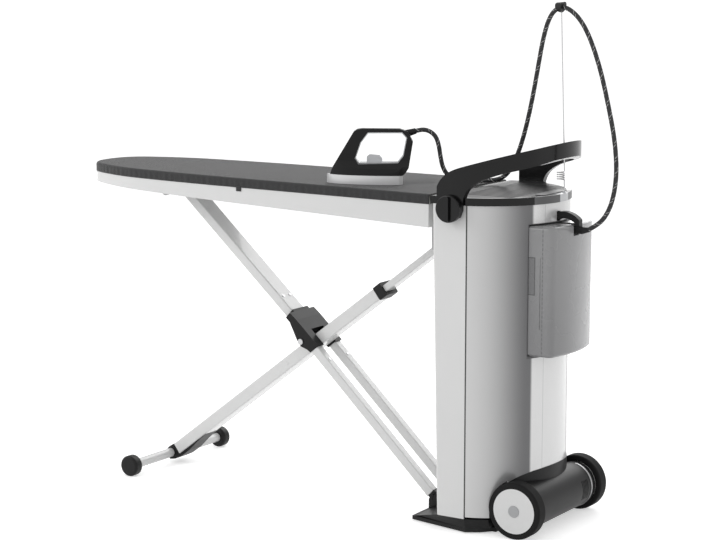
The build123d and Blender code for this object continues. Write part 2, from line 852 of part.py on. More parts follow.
# the hose: from the iron up to the clip, and from the clip down to the boot
iron_tip = (-419.4, -132.6)
iron_dir = (0.8593, 0.5112)
hose_up = [(-221.8, -15.0, 985.0), (-208.9, -7.4, 989.0), (-195.7, 0.5, 986.8), (-183.8, 7.6, 978.8),
           (-175.4, 12.6, 966.1), (-170.1, 15.8, 943),
           (-166.8, 17.8, 916), (-162, 20.5, 891), (-151.5, 27.5, 870), (-131, 41, 859.2),
           (-102, 57, 857.1),
           (-70, 73, 856.6), (-38, 86, 859.5), (-13, 88, 872), (8, 84, 898), (26, 78, 930), (42, 72.3, 966),
           (57, 66.5, 1008), (72, 61, 1060), (86, 56, 1117), (98, 51.6, 1172), (109.9, 47.6, 1224.3),
           (123.4, 42.7, 1263.8), (136.4, 38, 1285.8), (150.4, 32.9, 1299.2), clip_start]
hose_down = [clip_end, (193.3, 21.9, 1303.6), (210.5, 21.2, 1292.4), (227, 20.4, 1276.5),
             (243, 19.4, 1254), (258, 18.2, 1226), (272, 16.8, 1194), (287, 15, 1154), (302, 12, 1106), (316, 8.8, 1056),
             (329, 5.2, 1008), (338, 1.7, 961), (343, -1.6, 914), (341, -4.5, 868), (333, -7.1, 830),
             (320, -9.3, 801), (301, -11.3, 779), boot_end]


with BuildPart() as clip:
    with BuildSketch(Plane(origin=clip_start, z_dir=vector_to(hose_up[-2], clip_start))):
        Circle(13.5)
    with BuildSketch(Plane(origin=clip_end, z_dir=vector_to(clip_end, hose_down[1]))):
        Circle(13.5)
    loft()
    with BuildSketch(Plane(origin=wire_tip, z_dir=vector_to(wire_high, wire_tip))):
        Circle(wire_r)
    extrude(amount=-12, mode=Mode.SUBTRACT)
save(clip.part, "hose_clip")


def cord(points, r, name):
    """Round cord through the points, with an arc of its own radius at each."""
    radii = bends(points)
    runs = [(Vector(*points[i + 1]) - Vector(*points[i])).length for i in range(len(points) - 1)]
    print(name, "least radius", round(min(radii), 1), "longest run", round(max(runs), 1))
    with BuildPart() as tube:
        with BuildLine() as path:
            FilletPolyline(*points, radius=radii)
        with BuildSketch(Plane(origin=points[0], z_dir=vector_to(points[0], points[1]))):
            Circle(r)
        sweep()
    length = sum([edge.length for edge in path.edges()])
    print(name, "length", round(length, 1), "volume share", round(tube.part.volume / (pi * r * r * length), 4))
    return tube.part


hose_front = cord(hose_up, hose_r, "hose front")
hose_rear = cord(hose_down, hose_r, "hose rear")
save(hose_front, "hose_front")
save(hose_rear, "hose_rear")

# inside the tower
with BuildPart() as chassis:
    with BuildSketch(Plane.XY.offset(166)):
        with Locations((11, 0)):
            Rectangle(52, 2 * (column_half - wall))
        with Locations((66, 0)):
            Rectangle(60, 300)
    extrude(amount=3)
    for y in (column_half - wall, -column_half + 2 * wall):
        with BuildSketch(side(y)):
            with Locations((0, 102)):
                Rectangle(60, 130)
        extrude(amount=wall)
    with BuildSketch(side(column_half)):
        with Locations((0, 95)):
            RectangleRounded(30, 22, 3)
    extrude(amount=20, mode=Mode.SUBTRACT)
save(chassis.part, "inner_chassis")

boiler_x = 46.0
with BuildPart() as boiler:
    with BuildSketch(Plane.XY.offset(169)):
        with Locations((boiler_x, 0)):
            Circle(62)
    extrude(amount=230)
    fillet(boiler.edges().filter_by(GeomType.CIRCLE).sort_by(Axis.Z)[-1], 12)
    with BuildSketch(Plane.XY.offset(171)):
        with Locations((boiler_x, 0)):
            Circle(59)
    extrude(amount=222, mode=Mode.SUBTRACT)
    with BuildSketch(Plane.XY.offset(380)):
        with Locations((boiler_x - 30, 0), (boiler_x + 30, 0)):
            Circle(4)
        with Locations((boiler_x, 0)):
            Circle(5)
    extrude(amount=30, mode=Mode.SUBTRACT)
save(boiler.part, "boiler")

with BuildPart() as heater:
    with Locations((boiler_x, 0, 190)):
        Torus(30, 4)
    with BuildSketch(Plane.XY.offset(190)):
        with Locations((boiler_x - 30, 0), (boiler_x + 30, 0)):
            Circle(4)
    extrude(amount=222)
save(heater.part, "heating_element")

with BuildPart() as steam_valve:
    with BuildSketch(Plane.XY.offset(399)):
        with Locations((boiler_x, 0)):
            RectangleRounded(34, 34, 4)
    extrude(amount=22)
    with BuildSketch(Plane.XY.offset(421)):
        with Locations((boiler_x, 0)):
            Circle(15)
    extrude(amount=30)
    with BuildSketch(Plane.XY.offset(390)):
        with Locations((boiler_x, 0)):
            Circle(5)
    extrude(amount=10)
    with BuildSketch(Plane.XY.offset(388)):
        with Locations((boiler_x, 0)):
            Circle(2.5)
    extrude(amount=70, mode=Mode.SUBTRACT)
save(steam_valve.part, "steam_valve")

with BuildPart() as pump:
    with BuildSketch(Plane.YZ.offset(10)):
        with Locations((-130, 194)):
            Circle(22)
        with Locations((-130, 175)):
            Rectangle(40, 12)
    extrude(amount=60)
    with BuildSketch(Plane.YZ.offset(-4)):
        with Locations((-130, 194)):
            Circle(5)
    extrude(amount=88)
save(pump.part, "pump")

with BuildPart() as board_electronics:
    with BuildSketch(side(158)):
        with Locations((30, 240)):
            Rectangle(70, 142)
    extrude(amount=3)
    with BuildSketch(side(155)):
        with Locations((20, 215), (45, 270)):
            Rectangle(22, 22)
    extrude(amount=16)
    with BuildSketch(side(190)):
        with Locations((30, 176)):
            Rectangle(70, 14)
    extrude(amount=32)
save(board_electronics.part, "control_board")


def tube_along(points, r, bore):
    """Plain pipe through the points with bends of three radii."""
    with BuildPart() as pipe:
        with BuildLine():
            FilletPolyline(*points, radius=3 * r)
        with BuildSketch(Plane(origin=points[0], z_dir=vector_to(points[0], points[1]))):
            Circle(r)
            Circle(bore, mode=Mode.SUBTRACT)
        sweep()
    return pipe.part


pipes = tube_along([(boiler_x, 0, 451), (boiler_x, 0, 700), (80, arm_y, 789), (176, arm_y, 789)], 5, 3)
pipes += tube_along([(102, 0, 475), (60, 0, 475), (60, -130, 475), (130, -130, 300),
                         (130, -130, 194), (84, -130, 194)], 4, 2.5)
pipes += tube_along([(-4, -130, 194), (-24, -130, 194), (-24, -130, 262), (boiler_x, -130, 262),
                        (boiler_x, -62, 262)], 4, 2.5)
save(pipes, "inner_pipes")

with BuildPart() as inlet:
    with BuildSketch(side(column_half + 2)):
        with Locations((0, 95)):
            RectangleRounded(36, 28, 4)
    extrude(amount=2)
    with BuildSketch(side(column_half)):
        with Locations((0, 95)):
            RectangleRounded(30, 22, 3)
    extrude(amount=26)
    with BuildSketch(side(column_half + 2)):
        with Locations((0, 95)):
            RectangleRounded(25, 17, 3)
    extrude(amount=20, mode=Mode.SUBTRACT)
    with BuildSketch(side(column_half - 14)):
        with Locations((-7, 93), (0, 98), (7, 93)):
            Rectangle(2, 4)
    extrude(amount=6)
save(inlet.part, "power_inlet")

# leg A: twin lower tubes, knuckle and flat upper tube
low_lift = 180 - 43.5
up_lift = 180 - 41.8
low_from = (-383.0, 264.0)
up_from = (-847.8, 682.4)
twin_y = 44.0
low_start = -321.9
low_end = 190.7
up_start = (knuckle_x - up_from[0]) / cos(radians(up_lift)) + 85
up_end = (tip_x - up_from[0]) / cos(radians(up_lift)) + 6
with BuildPart() as leg_a_lower:
    with BuildSketch(along(*low_from, low_lift, low_start)):
        with Locations((twin_y, 0), (-twin_y, 0)):
            RectangleRounded(25, 25, 3)
            RectangleRounded(22, 22, 1.5, mode=Mode.SUBTRACT)
    extrude(amount=low_end - low_start)
save(leg_a_lower.part, "leg_a_lower_tubes")

with BuildPart() as leg_a_upper:
    with BuildSketch(along(*up_from, up_lift, up_start)):
        RectangleRounded(60, 27, 4)
        RectangleRounded(56.6, 23.6, 2.3, mode=Mode.SUBTRACT)
    extrude(amount=up_end - up_start)
    with BuildSketch(side(40)):
        with Locations((tip_x, tip_z)):
            Circle(tip_pin)
    extrude(amount=80, mode=Mode.SUBTRACT)
save(leg_a_upper.part, "leg_a_upper_tube")

with BuildPart() as tip_rod:
    with BuildSketch(side(rail_far + 3)):
        with Locations((tip_x, tip_z)):
            Circle(tip_pin)
    extrude(amount=2 * rail_far + 6)
save(tip_rod.part, "leg_a_tip_pin")

knuckle_lift = 180 - 42.6


def knuckle_plane(y):
    """Side view in the knuckle's own directions: up leg A, and square to it."""
    c = cos(radians(knuckle_lift))
    s = sin(radians(knuckle_lift))
    return Plane(origin=(knuckle_x, y, knuckle_z), x_dir=(c, 0, s), z_dir=(0, 1, 0))


cheek_in = 29.0
cheek_out = 58.0
with BuildPart() as knuckle:
    for y in (cheek_in, -cheek_out):
        with BuildSketch(knuckle_plane(y)):
            with BuildLine():
                Polyline((-25, 17), (70, 17), (98, 15), (98, 2), (60, -12), (34, -22), (12, -26), (-8, -17),
                         (-20, -15), close=True)
            make_face()
        extrude(amount=cheek_out - cheek_in)
    with BuildSketch(knuckle_plane(-cheek_in)):
        with BuildLine():
            Polyline((32, -15), (32, 17), (70, 17), (98, 15), (98, -15), close=True)
        make_face()
    extrude(amount=2 * cheek_in)
    with BuildSketch(knuckle_plane(-36)):
        with BuildLine():
            Polyline((80, 15), (106, 15), (106, -18), (80, -18), close=True)
        make_face()
    extrude(amount=72)
    with BuildSketch(along(*low_from, low_lift, low_start)):
        with Locations((twin_y, 0), (-twin_y, 0)):
            RectangleRounded(25, 25, 3)
    extrude(amount=low_end - low_start, mode=Mode.SUBTRACT)
    with BuildSketch(along(*up_from, up_lift, up_start)):
        RectangleRounded(60, 27, 4)
    extrude(amount=100, mode=Mode.SUBTRACT)
    with BuildSketch(side(70)):
        with Locations((pivot_x, pivot_z)):
            Circle(4)
    extrude(amount=140, mode=Mode.SUBTRACT)
    with BuildSketch(side(cheek_in)):
        with Locations((pivot_x, pivot_z)):
            Circle(10)
    extrude(amount=2 * cheek_in, mode=Mode.SUBTRACT)
save(knuckle.part, "leg_knuckle")

with BuildPart() as pivot_pin:
    with BuildSketch(side(cheek_out + 2)):
        with Locations((pivot_x, pivot_z)):
            Circle(4)
    extrude(amount=2 * cheek_out + 4)
    for y in (cheek_out + 3, -cheek_out):
        with BuildSketch(side(y)):
            with Locations((pivot_x, pivot_z)):
                Circle(8)
        extrude(amount=3)
save(pivot_pin.part, "leg_pivot_pin")

with BuildPart() as foot_ends:
    for y in (twin_y + 12.5, -twin_y + 12.5):
        with BuildSketch(side(y)):
            with Locations((foot_pin_x, foot_pin_z)):
                Circle(14)
            with Locations((foot_pin_x - 8, foot_pin_z + 7)):
                Rectangle(22, 25, rotation=-43.5)
        extrude(amount=25)
    with BuildSketch(along(*low_from, low_lift, low_start)):
        with Locations((twin_y, 0), (-twin_y, 0)):
            RectangleRounded(30, 60, 1)
    extrude(amount=60, mode=Mode.SUBTRACT)
    with BuildSketch(along(*low_from, low_lift, low_start)):
        with Locations((twin_y, 0), (-twin_y, 0)):
            RectangleRounded(22, 22, 1.5)
    extrude(amount=25)
    with BuildSketch(side(69)):
        with Locations((foot_pin_x, foot_pin_z)):
            Circle(foot_pin)
    extrude(amount=138)
save(foot_ends.part, "leg_a_foot_hinge")

# screw heads on the legs


def face_plane(start, lift, distance, half, y):
    """Plane on a sloped leg's upper face, at a distance along the leg."""
    c = cos(radians(lift))
    s = sin(radians(lift))
    up = 1 if c > 0 else -1
    spot = (start[0] + c * distance - up * s * half, y, start[1] + s * distance + up * c * half)
    return Plane(origin=spot, x_dir=(0, 1, 0), z_dir=(-up * s, 0, up * c))


screw_r = 4.5
with BuildPart() as screws_a:
    for y in (15, -15):
        with BuildSketch(face_plane(up_from, up_lift, up_start + 77, 13.5, y)):
            Circle(screw_r)
        extrude(amount=1.6)
    for y in (twin_y, -twin_y):
        with BuildSketch(face_plane(low_from, low_lift, low_end - 59, 12.5, y)):
            Circle(screw_r)
        extrude(amount=1.2)
save(screws_a.part, "leg_a_screws")

# leg B: outer tube with its foot, and the inner tube that slides into it
b_w = 56.0
b_h = 34.0
b_foot = -596.0
b_collar = 255.0
inner_w = 46.0
inner_h = 18.0
bar_r = 13.0


def leg_b_side(y):
    """Side view in leg B's own directions: up the leg, and square to it."""
    c = cos(radians(leg_b_tilt))
    s = sin(radians(leg_b_tilt))
    return Plane(origin=(knuckle_x, y, knuckle_z), x_dir=(c, 0, s), z_dir=(0, -1, 0))


def leg_b_cut(distance):
    return along(knuckle_x, knuckle_z, leg_b_tilt, distance)


with BuildPart() as leg_b_outer:
    with BuildSketch(leg_b_cut(b_foot)):
        RectangleRounded(b_w, b_h, 4)
        RectangleRounded(b_w - 3.2, b_h - 3.2, 2.4, mode=Mode.SUBTRACT)
    extrude(amount=b_collar - b_foot)
    with BuildSketch(side(40)):
        with Locations((pivot_x, pivot_z)):
            Circle(9)
    extrude(amount=80, mode=Mode.SUBTRACT)
    with BuildSketch(side(b_w / 2)):
        with Locations((pivot_x, pivot_z)):
            Circle(9)
            Circle(4 + pin_gap, mode=Mode.SUBTRACT)
    extrude(amount=b_w)
    with BuildSketch(leg_b_side(-b_w / 2)):
        with Locations((-116, 0)):
            Circle(4.5)
    extrude(amount=1)
save(leg_b_outer.part, "leg_b_outer_tube")

with BuildPart() as collar:
    with BuildSketch(leg_b_cut(b_collar - 10)):
        RectangleRounded(b_w + 5, b_h + 5, 6)
    extrude(amount=26)
    with BuildSketch(leg_b_cut(b_collar - 11)):
        RectangleRounded(b_w, b_h, 4)
    extrude(amount=11, mode=Mode.SUBTRACT)
    with BuildSketch(leg_b_cut(b_collar - 1)):
        RectangleRounded(inner_w + 0.6, inner_h + 0.6, 3.3)
    extrude(amount=30, mode=Mode.SUBTRACT)
save(collar.part, "leg_b_collar")

with BuildPart() as foot_bracket:
    with BuildSketch(leg_b_side(b_w / 2)):
        with BuildLine():
            Polyline((b_foot, 17), (-614, 19), (-630, 17), (-639, 4), (-635, -12), (-620, -20), (-596, -25),
                     (-560, -25.5), (-520, -20), (-480, -17), (b_foot, -17), close=True)
        make_face()
    extrude(amount=b_w)
    with BuildSketch(leg_b_cut(b_foot)):
        RectangleRounded(b_w - 3.2, b_h - 3.2, 2.4)
    extrude(amount=22)
    with BuildSketch(side(40)):
        with Locations((bar_x, bar_z)):
            Circle(bar_r)
    extrude(amount=80, mode=Mode.SUBTRACT)
save(foot_bracket.part, "foot_bracket")

with BuildPart() as foot_bar:
    with BuildSketch(side(200)):
        with Locations((bar_x, bar_z)):
            Circle(bar_r)
            Circle(bar_r - 1.6, mode=Mode.SUBTRACT)
    extrude(amount=400)
save(foot_bar.part, "foot_bar")

with BuildPart() as foot_caps:
    for y in (220, -190):
        with BuildSketch(side(y)):
            with Locations((bar_x, bar_z)):
                Circle(29)
        extrude(amount=30)
    fillet(foot_caps.edges().filter_by(GeomType.CIRCLE), 7)
    with BuildSketch(side(200)):
        with Locations((bar_x, bar_z)):
            Circle(bar_r)
    extrude(amount=400, mode=Mode.SUBTRACT)
save(foot_caps.part, "foot_caps")

inner_end = leg_b_top - 10
with BuildPart() as leg_b_inner:
    with BuildSketch(leg_b_cut(215)):
        RectangleRounded(inner_w, inner_h, 3)
        RectangleRounded(inner_w - 3, inner_h - 3, 1.5, mode=Mode.SUBTRACT)
    extrude(amount=inner_end - 215)
    with BuildSketch(leg_b_side(inner_w / 2)):
        with Locations((leg_b_top, 0)):
            Circle(12)
        with Locations((leg_b_top - 8, 0)):
            Rectangle(16, inner_h)
    extrude(amount=inner_w)
    with BuildSketch(leg_b_side(30)):
        with Locations((leg_b_top, 0)):
            Circle(4)
    extrude(amount=60, mode=Mode.SUBTRACT)
save(leg_b_inner.part, "leg_b_inner_tube")

# iron, resting on the cover
tilt = radians(board_tilt)
iron_n = (sin(tilt), 0, cos(tilt))
iron_u = Vector(iron_dir[0], iron_dir[1], -iron_dir[0] * tan(tilt)).normalized()
iron_side_dir = iron_u.cross(Vector(*iron_n))
iron_tip_z = board_top + (heel_x - iron_tip[0]) * tan(tilt) + 0.2


def iron_side(w):
    """Side view of the iron: local x from its tip to its heel, local y up."""
    origin = Vector(iron_tip[0], iron_tip[1], iron_tip_z) + iron_side_dir * w
    return Plane(origin=origin, x_dir=iron_u, z_dir=iron_side_dir)


def iron_level(v):
    """Level cut through the iron at a height over its sole."""
    origin = Vector(iron_tip[0], iron_tip[1], iron_tip_z) + Vector(*iron_n) * v
    return Plane(origin=origin, x_dir=iron_u, z_dir=iron_n)


def iron_cross(u):
    """Cross-section plane of the iron: local x to its left, local y up."""
    origin = Vector(iron_tip[0], iron_tip[1], iron_tip_z) + iron_u * u
    return Plane(origin=origin, x_dir=-iron_side_dir, z_dir=iron_u)


def sole_outline(grow):
    """Plan of the soleplate, widened by grow."""
    points = [(12, 15), (35, 30), (70, 42), (110, 49), (150, 51), (188, 48)]
    near = [(0 - grow, 0)]
    for u, w in points:
        near.append((u, w + grow))
    far = []
    for u, w in reversed(points):
        far.append((u, -w - grow))
    with BuildSketch(mode=Mode.PRIVATE) as sk:
        with BuildLine():
            Spline(near)
            Spline(far + [(0 - grow, 0)])
            Polyline(near[-1], (197 + grow, 40), (197 + grow, -40), far[0])
        make_face()
    return sk.sketch


grip = [(107, 129), (193, 130), (204, 118), (196, 73), (183, 56), (84, 53), (75, 65), (89, 105)]
with BuildPart() as soleplate:
    with BuildSketch(iron_level(0)):
        add(sole_outline(0))
    extrude(amount=23)
    with BuildSketch(iron_level(0)):
        for u in (40, 70, 100, 130, 160):
            with Locations((u, 0.3 * u), (u, -0.3 * u)):
                Circle(2)
    extrude(amount=3, mode=Mode.SUBTRACT)
save(soleplate.part, "iron_soleplate")

with BuildPart() as iron_body:
    with BuildSketch(iron_side(0)):
        with BuildLine():
            Polyline((8, 23), (14, 40), (69, 133), (78, 139), (90, 141), (188, 141), (209, 134), (222, 108),
                     (212, 43), (204, 30), (196, 23), close=True)
        make_face()
    extrude(amount=60, both=True)
    with BuildSketch(iron_level(20)):
        add(sole_outline(-2))
        with Locations((200, 0)):
            RectangleRounded(56, 78, 14)
    extrude(amount=130, mode=Mode.INTERSECT)
    with BuildSketch(iron_cross(0)):
        with BuildLine():
            Polyline((-50, 20), (-50, 27), (-44, 40), (-24, 60), (-18, 80), (-17, 128), (-10, 143), (10, 143),
                     (17, 128), (18, 80), (24, 60), (44, 40), (50, 27), (50, 20), close=True)
        make_face()
    extrude(amount=260, mode=Mode.INTERSECT)
    with BuildSketch(iron_side(60)):
        with BuildLine():
            Polyline(*grip, close=True)
        make_face()
        offset(amount=2.5, kind=Kind.INTERSECTION)
    extrude(amount=-120, mode=Mode.SUBTRACT)
    with BuildSketch(iron_side(7.5)):
        with Locations((123, 49)):
            Rectangle(41, 14)
    extrude(amount=-15, mode=Mode.SUBTRACT)
save(iron_body.part, "iron_body")

with BuildPart() as grip_lining:
    with BuildSketch(iron_side(17)):
        with BuildLine():
            Polyline(*grip, close=True)
        make_face()
        offset(amount=2.5, kind=Kind.INTERSECTION)
        with BuildLine():
            Polyline(*grip, close=True)
        make_face(mode=Mode.SUBTRACT)
    extrude(amount=-34)
    with BuildSketch(iron_side(7.5)):
        with Locations((123, 49)):
            Rectangle(41, 14)
    extrude(amount=-15, mode=Mode.SUBTRACT)
save(grip_lining.part, "iron_grip_lining")

with BuildPart() as steam_key:
    with BuildSketch(iron_side(7)):
        with BuildLine():
            Polyline((103, 46.5), (103, 68), (110, 74), (136, 72), (143, 64), (143, 46.5), close=True)
        make_face()
    extrude(amount=-14)
save(steam_key.part, "iron_steam_key")

hose_lead = Vector(*vector_to(hose_up[0], hose_up[1])).normalized()
with BuildPart() as grommet:
    with BuildSketch(Plane(origin=hose_up[0], z_dir=-hose_lead)):
        Circle(7.5)
    with BuildSketch(Plane(origin=Vector(*hose_up[0]) - hose_lead * 26, z_dir=-hose_lead)):
        Circle(9.5)
    loft()
    add(iron_body.part, mode=Mode.SUBTRACT)
save(grommet.part, "iron_grommet")
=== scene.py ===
# Steam ironing system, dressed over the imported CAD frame.
import math

import bmesh
import bpy
import numpy as np
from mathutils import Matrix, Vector


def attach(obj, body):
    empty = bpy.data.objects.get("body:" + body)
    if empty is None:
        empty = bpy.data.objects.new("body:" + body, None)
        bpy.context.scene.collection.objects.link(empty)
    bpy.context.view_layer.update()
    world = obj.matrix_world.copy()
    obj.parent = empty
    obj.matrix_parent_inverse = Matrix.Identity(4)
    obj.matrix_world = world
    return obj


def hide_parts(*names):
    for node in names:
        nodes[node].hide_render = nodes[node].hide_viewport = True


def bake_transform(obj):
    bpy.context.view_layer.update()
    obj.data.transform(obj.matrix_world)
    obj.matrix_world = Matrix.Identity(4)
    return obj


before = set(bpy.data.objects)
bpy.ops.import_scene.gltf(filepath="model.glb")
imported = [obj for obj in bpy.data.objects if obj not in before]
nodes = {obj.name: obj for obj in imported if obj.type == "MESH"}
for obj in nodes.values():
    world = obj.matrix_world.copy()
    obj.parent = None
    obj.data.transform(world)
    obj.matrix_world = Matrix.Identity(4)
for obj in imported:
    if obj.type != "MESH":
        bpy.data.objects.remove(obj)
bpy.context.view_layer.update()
print("frame loaded", len(nodes))


# A node socket that takes plain arithmetic.
class Sock:
    def __init__(self, tree, socket):
        self.tree = tree
        self.socket = socket

    def math(self, op, other=None):
        n = self.tree.nodes.new("ShaderNodeMath")
        n.operation = op
        wire(self.tree, n.inputs[0], self)
        if other is not None:
            wire(self.tree, n.inputs[1], other)
        return Sock(self.tree, n.outputs[0])

    def __add__(self, o):
        return self.math("ADD", o)

    def __radd__(self, o):
        return self.math("ADD", o)

    def __sub__(self, o):
        return self.math("SUBTRACT", o)

    def __rsub__(self, o):
        return (self * -1.0) + o

    def __mul__(self, o):
        return self.math("MULTIPLY", o)

    def __rmul__(self, o):
        return self.math("MULTIPLY", o)

    def sin(self):
        return self.math("SINE")

    def above(self, o):
        return self.math("GREATER_THAN", o)

    def below(self, o):
        return self.math("LESS_THAN", o)

    # runs smoothly from lo to hi as the value goes from a to b
    def ramp(self, a, b, lo=0.0, hi=1.0):
        n = self.tree.nodes.new("ShaderNodeMapRange")
        n.interpolation_type = "SMOOTHSTEP"
        wire(self.tree, n.inputs["Value"], self)
        for name, v in (("From Min", a), ("From Max", b), ("To Min", lo), ("To Max", hi)):
            wire(self.tree, n.inputs[name], v)
        return Sock(self.tree, n.outputs["Result"])

    # 1 within half of the centre, falling to 0 over soft
    def band(self, centre, half, soft):
        return (self - centre).math("ABSOLUTE").ramp(half, half + soft, 1.0, 0.0)


def wire(tree, target, value):
    if isinstance(value, Sock):
        tree.links.new(value.socket, target)
    else:
        target.default_value = value


# One material: its nodes and the shader they feed.
class Mat:
    def __init__(self, name):
        self.mat = bpy.data.materials.new(name)
        self.mat.use_nodes = True
        self.tree = self.mat.node_tree
        self.shader = self.tree.nodes["Principled BSDF"]
        coord = self.tree.nodes.new("ShaderNodeTexCoord")
        self.point = Sock(self.tree, coord.outputs["Object"])
        split = self.make("ShaderNodeSeparateXYZ", {"Vector": self.point})
        self.x = Sock(self.tree, split.outputs["X"])
        self.y = Sock(self.tree, split.outputs["Y"])
        self.z = Sock(self.tree, split.outputs["Z"])

    def make(self, kind, inputs, **settings):
        n = self.tree.nodes.new(kind)
        for k, v in settings.items():
            setattr(n, k, v)
        for k, v in inputs.items():
            wire(self.tree, n.inputs[k], v)
        return n

    def noise(self, scale, detail=3.0, rough=0.5, at=None):
        n = self.make("ShaderNodeTexNoise", {"Vector": at or self.point, "Scale": scale, "Detail": detail,
                                             "Roughness": rough})
        return Sock(self.tree, n.outputs["Fac"])

    def spot(self, x, y, z):
        n = self.make("ShaderNodeCombineXYZ", {"X": x, "Y": y, "Z": z})
        return Sock(self.tree, n.outputs["Vector"])

    def mix(self, fac, a, b):
        n = self.make("ShaderNodeMix", {}, data_type="RGBA")
        wire(self.tree, n.inputs[0], fac)
        wire(self.tree, n.inputs[6], a)
        wire(self.tree, n.inputs[7], b)
        return Sock(self.tree, n.outputs[2])

    def set(self, **values):
        names = {"color": "Base Color", "rough": "Roughness", "metal": "Metallic", "coat": "Coat Weight",
                 "alpha": "Alpha", "sheen": "Sheen Weight", "specular": "Specular IOR Level"}
        for k, v in values.items():
            wire(self.tree, self.shader.inputs[names[k]], v)
        return self

    def bump(self, height, strength, distance):
        n = self.make("ShaderNodeBump", {"Height": height, "Strength": strength, "Distance": distance})
        self.tree.links.new(n.outputs["Normal"], self.shader.inputs["Normal"])
        return self


def rgb(r, g, b):
    return (r, g, b, 1.0)


# Finishes. Values are linear; lengths are in metres.
paints = {"white": rgb(0.74, 0.74, 0.735), "peel": 0.00004}


def whitePaint(name, tint=1.0, rough=0.16):
    m = Mat(name)
    broad = m.noise(7.0, 3.0)
    fine = m.noise(900.0, 2.0)
    w = paints["white"]
    a = rgb(w[0] * tint, w[1] * tint, w[2] * tint)
    b = rgb(w[0] * tint * 0.965, w[1] * tint * 0.968, w[2] * tint * 0.975)
    m.set(color=m.mix(broad, a, b), rough=broad * 0.06 + rough, coat=0.35)
    m.bump(fine, 0.06, paints["peel"])
    return m


def blackPlastic(name, level=0.012, rough=0.42, grain=1800.0, coat=0.0, bump=0.10):
    m = Mat(name)
    broad = m.noise(11.0, 4.0)
    fine = m.noise(grain, 2.0)
    m.set(color=m.mix(broad, rgb(level, level, level * 1.05), rgb(level * 1.6, level * 1.6, level * 1.65)),
          rough=broad * 0.10 + fine * 0.06 + (rough - 0.08), coat=coat, specular=0.22)
    m.bump(fine, bump, 0.00006)
    return m


def greyPlastic(name, r, g, b, rough=0.3):
    m = Mat(name)
    broad = m.noise(18.0, 3.0)
    fine = m.noise(1500.0, 2.0)
    m.set(color=m.mix(broad, rgb(r, g, b), rgb(r * 0.88, g * 0.88, b * 0.9)), rough=broad * 0.08 + rough)
    m.bump(fine, 0.07, 0.00005)
    return m


def steelFinish(name, level=0.55, rough=0.25):
    m = Mat(name)
    lines = m.noise(1.0, 3.0, 0.6, m.spot(m.x * 60.0, m.y * 60.0, m.z * 2400.0))
    m.set(color=m.mix(lines, rgb(level, level, level), rgb(level * 0.8, level * 0.8, level * 0.82)),
          metal=1.0, rough=lines * 0.14 + rough)
    m.bump(lines, 0.05, 0.00003)
    return m


# light and deep are painted reflection and painted shade across the casing; pale is a painted lit strip.
casing = {"seamX": 0.0405, "stripY": 0.065, "litY": 0.101, "light": rgb(0.62, 0.62, 0.62),
          "deep": rgb(0.12, 0.12, 0.124), "paintedLitColour": rgb(0.72, 0.72, 0.72)}


# Silver paint with painted reflection and shade: lighter at the outer sides, deepening in painted shade towards a
# painted lit middle strip, with a seam line there and painted shade in the groove along the column.
def casingPaintedLight():
    m = Mat("casingSilver")
    broad = m.noise(5.0, 3.0)
    flake = m.noise(2600.0, 2.0)
    across = m.y.math("ABSOLUTE")
    # painted reflection at the outer sides, turning to painted shade towards the middle
    tone = m.mix(across.ramp(0.215, 0.108), casing["light"], casing["deep"])
    # painted light: a lit strip down the middle, lighter than the shaded sides
    paintedLitStrip = across.ramp(casing["litY"] - 0.004, casing["litY"] + 0.003, 1.0, 0.0)
    line = across.band(casing["stripY"] + 0.0005, 0.0006, 0.0004)
    body = m.mix(paintedLitStrip, tone, casing["paintedLitColour"])
    body = m.mix(line * 0.35, body, rgb(0.2, 0.2, 0.2))
    # painted shade: near black in the groove beside the column, where shade falls
    grooveShade = m.x.below(casing["seamX"])
    m.set(color=m.mix(grooveShade, body, rgb(0.03, 0.03, 0.03)), metal=grooveShade * -0.25 + 0.25,
          rough=flake * 0.05 + broad * 0.04 + 0.24, coat=0.4)
    m.bump(flake, 0.03, 0.00003)
    return m


tankLook = {"sideY": -0.1085, "seamX": 0.200, "gripX": 0.180, "gripZ": 0.652, "gripHalf": 0.047,
            "low": rgb(0.24, 0.24, 0.245), "high": rgb(0.30, 0.30, 0.305), "dim": rgb(0.19, 0.19, 0.195),
            "line": rgb(0.10, 0.10, 0.105), "lit": rgb(0.40, 0.40, 0.41)}


# Smoky translucent plastic: the tone is darker towards the foot; painted light lightens it towards the far side,
# and painted shade marks the grip recess.
def tankToneAndPaintedLight():
    m = Mat("tankSmoke")
    broad = m.noise(9.0, 3.0)
    footToTop = m.z.ramp(0.45, 0.78, 0.0, 1.0)
    side = m.y.below(tankLook["sideY"])
    dots = (m.z * 560.0).sin().above(-0.2)
    seam = m.x.band(tankLook["seamX"], 0.0012, 0.0008) * side
    tone = m.mix(footToTop, tankLook["low"], tankLook["high"])
    tone = m.mix(broad * 0.3, tone, tankLook["dim"])
    # painted light: lighter towards the far side
    tone = m.mix(m.y.ramp(-0.10, 0.05, 0.0, 0.6), tone, tankLook["lit"])
    tone = m.mix(seam * (dots * 0.4 + 0.25), tone, tankLook["line"])
    # The grip recess is not modelled: painted shade darkens its inside and paints its edge near black, and the
    # bump gives it depth.
    inside = m.x.below(tankLook["gripX"]) * m.z.band(tankLook["gripZ"], tankLook["gripHalf"], 0.0015)
    inner = (m.x.below(tankLook["gripX"] - 0.003)
             * m.z.band(tankLook["gripZ"], tankLook["gripHalf"] - 0.003, 0.0015))
    recessEdgeShade = (inside - inner) * side
    tone = m.mix(inner * side * 0.55, tone, tankLook["line"])
    tone = m.mix(recessEdgeShade * 0.8, tone, rgb(0.05, 0.05, 0.052))
    m.set(color=tone, rough=broad * 0.1 + 0.22, alpha=0.95, coat=0.3)
    m.bump(seam * dots - inner * side * 2.0, 0.3, 0.0006)
    return m


